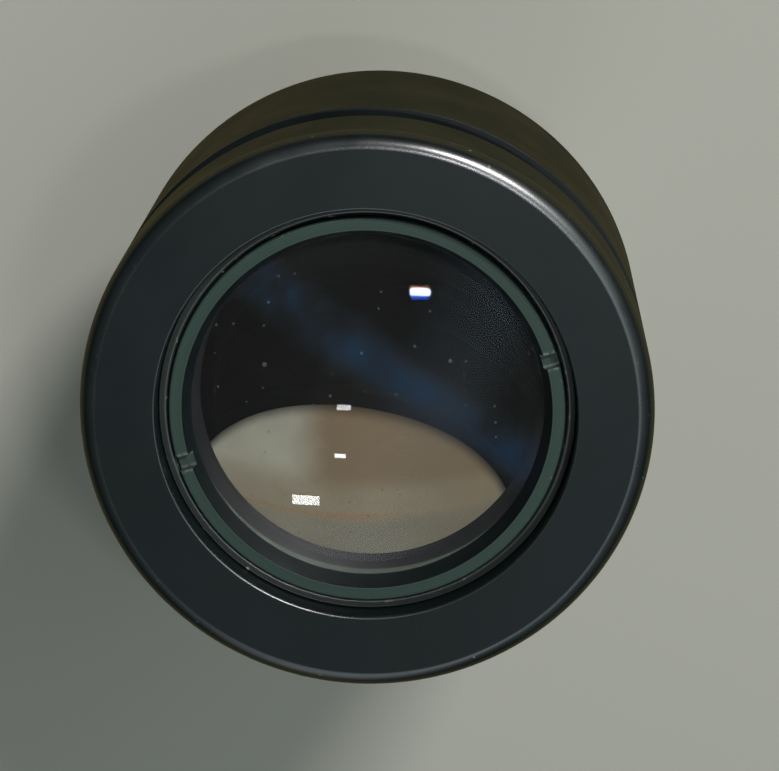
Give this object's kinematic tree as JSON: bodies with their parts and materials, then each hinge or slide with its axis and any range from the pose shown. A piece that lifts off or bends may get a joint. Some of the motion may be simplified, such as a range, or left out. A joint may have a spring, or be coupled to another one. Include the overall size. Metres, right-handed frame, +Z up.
{
  "type": "microscope eyepiece",
  "caption": "Widefield microscope eyepiece: a black head with a recessed coated eye lens and an eyeguard groove, on a hollow 23.2 mm insertion tube with a field stop.",
  "frame": {"origin": "middle of the insertion tube's rear end, in the plane that the eyepiece stands on", "axes": "+Z up along the optical axis, from the rear end towards the eye lens; -Y towards the side of the head that lies uppermost in the picture"},
  "size_m": [0.038, 0.038, 0.055],
  "materials": {
    "black_anodised": "satin black anodised, turned",
    "grey_anodised": "matt grey anodised",
    "blackened_brass": "chemically blackened, matt",
    "bright_chrome": "satin chrome plate",
    "flint_glass": "polished, coated",
    "crown_glass": "polished, coated",
    "black_steel": "black oxide"
  },
  "bodies": {
    "root": {"eye_bezel": "black_anodised", "head_shell": "black_anodised", "insertion_tube": "bright_chrome", "eye_lens_retainer": "grey_anodised", "eye_lens_flint": "flint_glass", "eye_lens_crown": "crown_glass", "lens_cell": "blackened_brass", "lens_spacer": "blackened_brass", "field_lens": "crown_glass", "field_lens_cell": "blackened_brass", "field_lens_retainer": "blackened_brass", "field_stop": "blackened_brass", "stop_carrier": "blackened_brass", "stop_lock_ring": "blackened_brass", "rear_baffle": "blackened_brass", "cell_screw_1": "black_steel", "cell_screw_2": "black_steel", "cell_screw_3": "black_steel", "tube_lock_screw": "black_steel"}
  },
  "joints": []
}
